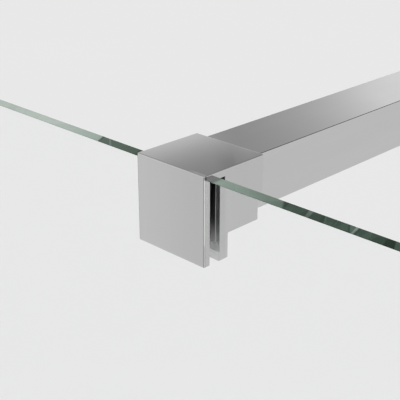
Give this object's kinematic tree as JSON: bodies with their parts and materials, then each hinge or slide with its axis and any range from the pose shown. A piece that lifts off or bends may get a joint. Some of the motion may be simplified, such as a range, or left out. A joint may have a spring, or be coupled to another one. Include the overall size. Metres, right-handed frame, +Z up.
{
  "type": "fixed shower screen",
  "caption": "Fixed glass shower screen in an adjustable wall profile, braced by a rectangular bar that a square clamp holds on the top edge of the glass.",
  "frame": {"origin": "on the back face of the wall channel, at its lower end on the tray, in the middle plane of the glass", "axes": "+X along the glass away from its wall, +Y along the bracing bar towards the second wall, +Z up"},
  "size_m": [0.9, 0.9089, 1.9577],
  "materials": {
    "glass": "clear, polished edges",
    "chrome": "bright chrome plate",
    "bright_aluminium": "bright anodised",
    "plated_plastic": "chrome plated moulding",
    "steel": "stainless",
    "cast_plate": "raw casting",
    "pad_rubber": "matt black sheet",
    "gasket_rubber": "satin black strip",
    "clear_seal": "clear flexible strip",
    "nylon": "moulded"
  },
  "bodies": {
    "wall_mount": {"wall_channel": "bright_aluminium", "cover_strip": "bright_aluminium", "channel_top_cap": "plated_plastic"},
    "panel": {"glazing_profile": "bright_aluminium", "lock_screws": "steel", "edge_blocks": "nylon", "glazing_gasket_front": "gasket_rubber", "glazing_gasket_back": "gasket_rubber", "glass_panel": "glass", "bottom_seal": "clear_seal"},
    "clamp": {"clamp_body": "chrome", "clamp_front_pad": "pad_rubber", "clamp_rear_pad": "pad_rubber", "clamp_pressure_plate": "steel", "clamp_grub_screws": "steel", "bar_lock_screw": "steel"},
    "bar": {"bar_tube": "chrome", "wall_plate": "cast_plate", "spigot_lock_screw": "steel"},
    "cover": {"wall_cover": "chrome"}
  },
  "joints": [
    {"name": "panel_slide", "type": "slide", "parent": "wall_mount", "child": "panel", "axis": [1, 0, 0], "range_m": [-0.01, 0.01]},
    {"name": "clamp_slide", "type": "slide", "parent": "panel", "child": "clamp", "axis": [1, 0, 0], "range_m": [-0.4, 0.15]},
    {"name": "bar_slide", "type": "slide", "parent": "clamp", "child": "bar", "axis": [0, 1, 0], "range_m": [0, 0.01]},
    {"name": "cover_slide", "type": "slide", "parent": "bar", "child": "cover", "axis": [0, -1, 0], "range_m": [0, 0.1]}
  ]
}
